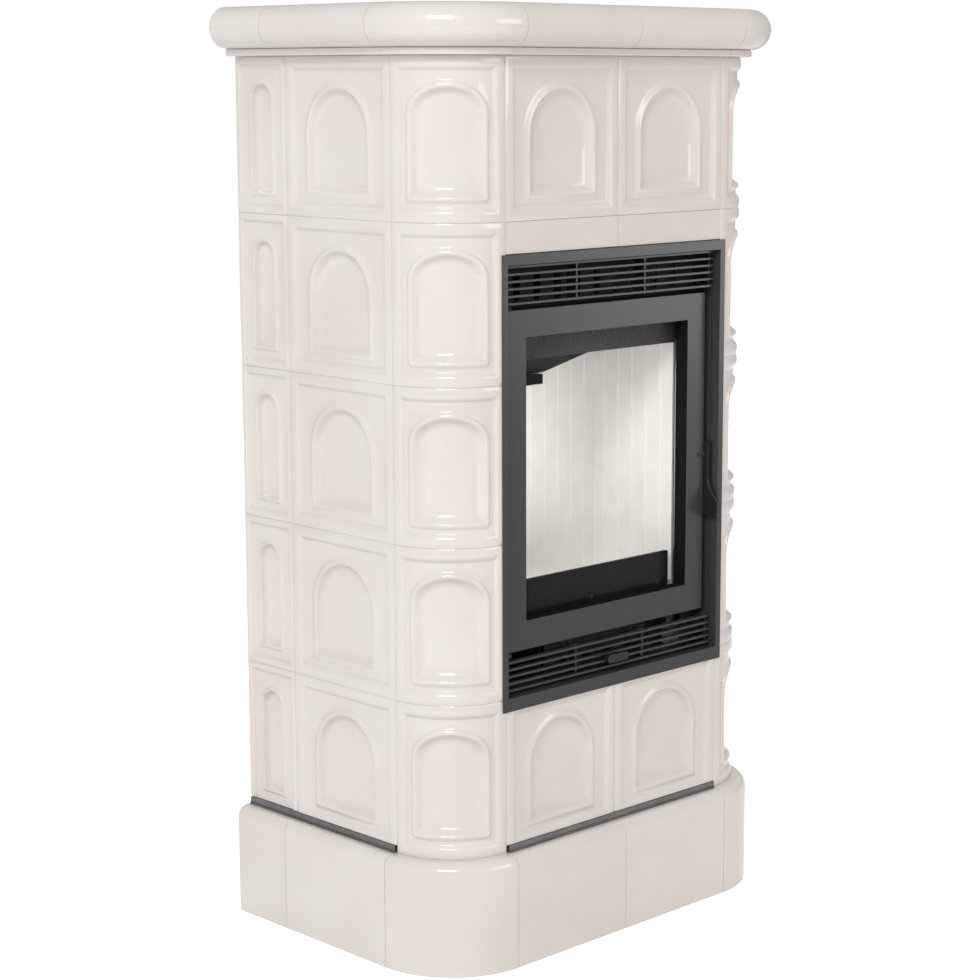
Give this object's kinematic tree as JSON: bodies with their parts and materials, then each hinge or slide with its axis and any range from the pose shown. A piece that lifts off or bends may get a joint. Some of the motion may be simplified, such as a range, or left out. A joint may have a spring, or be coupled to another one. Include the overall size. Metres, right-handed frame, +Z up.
{
  "type": "tiled stove with fireplace insert",
  "caption": "Free-standing stove: a rounded case of cream glazed relief tiles around a steel fireplace insert with a hinged glass door, grilles, air slider and flue.",
  "frame": {"origin": "on the floor, under the middle of the whole case's box", "axes": "+Z up, the door faces -Y, +X to the right as seen from behind the viewer who faces the door"},
  "size_m": [0.7468, 0.4834, 1.3315],
  "materials": {
    "cream_glaze": "glossy cream white glaze over moulded clay",
    "graphite_paint": "satin graphite stove paint",
    "dark_steel": "matt black heat-proof paint",
    "plain_steel": "matt grey primer on welded plate",
    "zinc_sheet": "zinc-coated sheet",
    "bright_steel": "bright machined steel",
    "cast_iron": "raw cast iron",
    "black_cast": "satin black cast handle",
    "fire_lining": "matt cream fireclay with upright flutes",
    "fire_glass": "clear ceramic glass",
    "seal_rope": "braided glass-fibre rope"
  },
  "bodies": {
    "stove": {"plinth_corners": "cream_glaze", "plinth_front": "cream_glaze", "plinth_sides": "cream_glaze", "plinth_rear_ends": "cream_glaze", "corner_tiles_left": "cream_glaze", "corner_tiles_right": "cream_glaze", "side_tiles_left": "cream_glaze", "side_tiles_right": "cream_glaze", "half_tiles_left": "cream_glaze", "half_tiles_right": "cream_glaze", "upper_front_tiles": "cream_glaze", "lower_front_tiles": "cream_glaze", "filler_tiles": "cream_glaze", "fillet_corners": "cream_glaze", "fillet_front": "cream_glaze", "fillet_sides": "cream_glaze", "cornice_corners": "cream_glaze", "cornice_front": "cream_glaze", "cornice_sides": "cream_glaze", "cornice_rear_ends": "cream_glaze", "base_frame": "plain_steel", "insert_stand": "plain_steel", "stand_feet": "bright_steel", "back_panel": "zinc_sheet", "panel_screws": "bright_steel", "top_cover": "dark_steel", "flue_collar": "cast_iron", "flue_pipe": "dark_steel", "air_spigot": "zinc_sheet", "portal_frame": "graphite_paint", "upper_grille": "graphite_paint", "lower_grille": "graphite_paint", "duct_sheet": "dark_steel", "insert_front": "dark_steel", "insert_side_left": "plain_steel", "insert_side_right": "plain_steel", "insert_rear": "plain_steel", "insert_top": "plain_steel", "air_box": "plain_steel", "lining_back": "fire_lining", "lining_left": "fire_lining", "lining_right": "fire_lining", "hearth_slab": "fire_lining", "grate": "cast_iron", "log_fence": "dark_steel", "smoke_baffle": "dark_steel", "baffle_bracket": "dark_steel", "ash_pan": "plain_steel", "air_plate": "plain_steel", "hinge_brackets": "dark_steel", "hinge_pins": "bright_steel", "latch_keeper": "dark_steel"},
    "door": {"door_frame": "graphite_paint", "door_glass": "fire_glass", "glass_clips": "bright_steel", "door_rope": "seal_rope", "handle_pin": "dark_steel"},
    "handle": {"door_handle": "black_cast"},
    "air_control": {"air_slider": "dark_steel", "air_knob": "black_cast"}
  },
  "joints": [
    {"name": "door_hinge", "type": "hinge", "parent": "stove", "child": "door", "pos_m": [-0.209, -0.1783, 0.6], "axis": [0, 0, -1], "range_deg": [0, 95]},
    {"name": "handle_pull", "type": "hinge", "parent": "door", "child": "handle", "pos_m": [0.20975, -0.1803, 0.6795], "axis": [-1, 0, 0], "range_deg": [0, 30]},
    {"name": "air_slide", "type": "slide", "parent": "stove", "child": "air_control", "axis": [1, 0, 0], "range_m": [-0.024, 0.024]}
  ]
}
